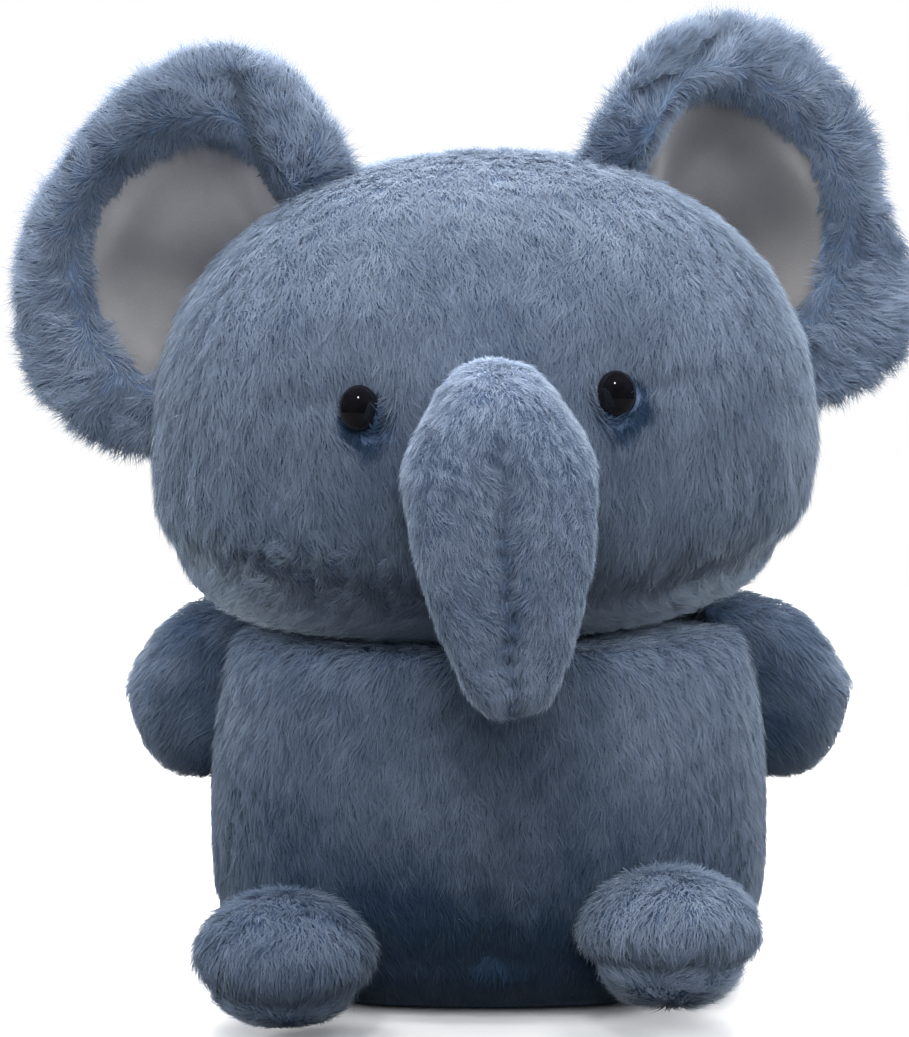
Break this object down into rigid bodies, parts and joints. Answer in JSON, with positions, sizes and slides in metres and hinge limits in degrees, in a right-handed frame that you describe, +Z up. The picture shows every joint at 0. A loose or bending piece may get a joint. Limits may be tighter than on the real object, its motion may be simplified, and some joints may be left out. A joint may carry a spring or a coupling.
{
  "type": "stuffed elephant",
  "caption": "Sitting plush elephant with a big round head, cupped ears, hanging trunk, stub arms and feet, jointed where the soft parts flex.",
  "frame": {"origin": "on the resting plane, below the middle of the body's flat base", "axes": "+Z up, -Y the way the face looks, +X to the right of someone facing the toy"},
  "size_m": [0.2285, 0.1752, 0.24],
  "materials": {
    "slate_pile": "brushed slate-blue plush pile, about 8 mm long",
    "trunk_pile": "the same pile, paler, on the trunk",
    "ear_lining_minky": "smooth short warm-grey minky",
    "polyester_fibre": "loose white fibre filling",
    "seam_thread": "slate polyester thread",
    "eye_plastic": "polished black",
    "washer_plastic": "natural moulded plastic"
  },
  "bodies": {
    "torso": {"body_back_panel": "slate_pile", "body_base_panel": "slate_pile", "body_belly_left_panel": "slate_pile", "body_belly_right_panel": "slate_pile", "body_filling": "polyester_fibre", "neck_seam_thread": "seam_thread"},
    "head": {"eye_left": "eye_plastic", "eye_left_washer": "washer_plastic", "eye_right": "eye_plastic", "eye_right_washer": "washer_plastic", "head_back_left_panel": "slate_pile", "head_back_right_panel": "slate_pile", "head_chin_panel": "slate_pile", "head_face_panel": "slate_pile", "head_filling": "polyester_fibre"},
    "trunk": {"trunk_filling": "polyester_fibre", "trunk_left_panel": "trunk_pile", "trunk_right_panel": "trunk_pile", "trunk_under_panel": "trunk_pile"},
    "ear_left": {"ear_left_back_panel": "slate_pile", "ear_left_lining": "ear_lining_minky", "ear_left_rim_panel": "slate_pile", "ear_left_wadding": "polyester_fibre"},
    "ear_right": {"ear_right_back_panel": "slate_pile", "ear_right_lining": "ear_lining_minky", "ear_right_rim_panel": "slate_pile", "ear_right_wadding": "polyester_fibre"},
    "arm_left": {"arm_left_back_panel": "slate_pile", "arm_left_filling": "polyester_fibre", "arm_left_front_panel": "slate_pile"},
    "arm_right": {"arm_right_back_panel": "slate_pile", "arm_right_filling": "polyester_fibre", "arm_right_front_panel": "slate_pile"},
    "foot_left": {"foot_left_filling": "polyester_fibre", "foot_left_sole_panel": "slate_pile", "foot_left_upper_panel": "slate_pile"},
    "foot_right": {"foot_right_filling": "polyester_fibre", "foot_right_sole_panel": "slate_pile", "foot_right_upper_panel": "slate_pile"}
  },
  "joints": [
    {"name": "head_turn", "type": "hinge", "parent": "torso", "child": "head", "pos_m": [0.0015, 0, 0.089], "axis": [-0.0523, -0.0018, 0.9986], "range_deg": [-20, 20], "stiffness_Nm_per_rad": 0.6},
    {"name": "trunk_lift", "type": "hinge", "parent": "head", "child": "trunk", "pos_m": [0.00147, -0.08005, 0.14293], "axis": [-0.998, -0.0349, -0.0523], "range_deg": [-5, 50], "stiffness_Nm_per_rad": 0.05},
    {"name": "ear_left_flap", "type": "hinge", "parent": "head", "child": "ear_left", "pos_m": [-0.05976, 0.00186, 0.17071], "axis": [0.534, 0.0186, 0.8453], "range_deg": [-15, 20], "stiffness_Nm_per_rad": 0.2},
    {"name": "ear_right_flap", "type": "hinge", "parent": "head", "child": "ear_right", "pos_m": [0.05361, 0.00582, 0.17666], "axis": [0.6194, 0.0216, -0.7848], "range_deg": [-5, 25], "stiffness_Nm_per_rad": 0.2},
    {"name": "arm_left_swing", "type": "hinge", "parent": "torso", "child": "arm_left", "pos_m": [-0.0783, 0.003, 0.088], "axis": [-0.9903, 0, 0.1392], "range_deg": [-25, 60], "stiffness_Nm_per_rad": 0.05},
    {"name": "arm_right_swing", "type": "hinge", "parent": "torso", "child": "arm_right", "pos_m": [0.0783, 0.003, 0.088], "axis": [-0.9903, 0, -0.1392], "range_deg": [-25, 60], "stiffness_Nm_per_rad": 0.05},
    {"name": "foot_left_lift", "type": "hinge", "parent": "torso", "child": "foot_left", "pos_m": [-0.0495, -0.061, 0.0186], "axis": [-1, 0, 0], "range_deg": [0, 25], "stiffness_Nm_per_rad": 0.2},
    {"name": "foot_right_lift", "type": "hinge", "parent": "torso", "child": "foot_right", "pos_m": [0.043, -0.061, 0.024], "axis": [-1, 0, 0], "range_deg": [-8, 18], "stiffness_Nm_per_rad": 0.2}
  ]
}
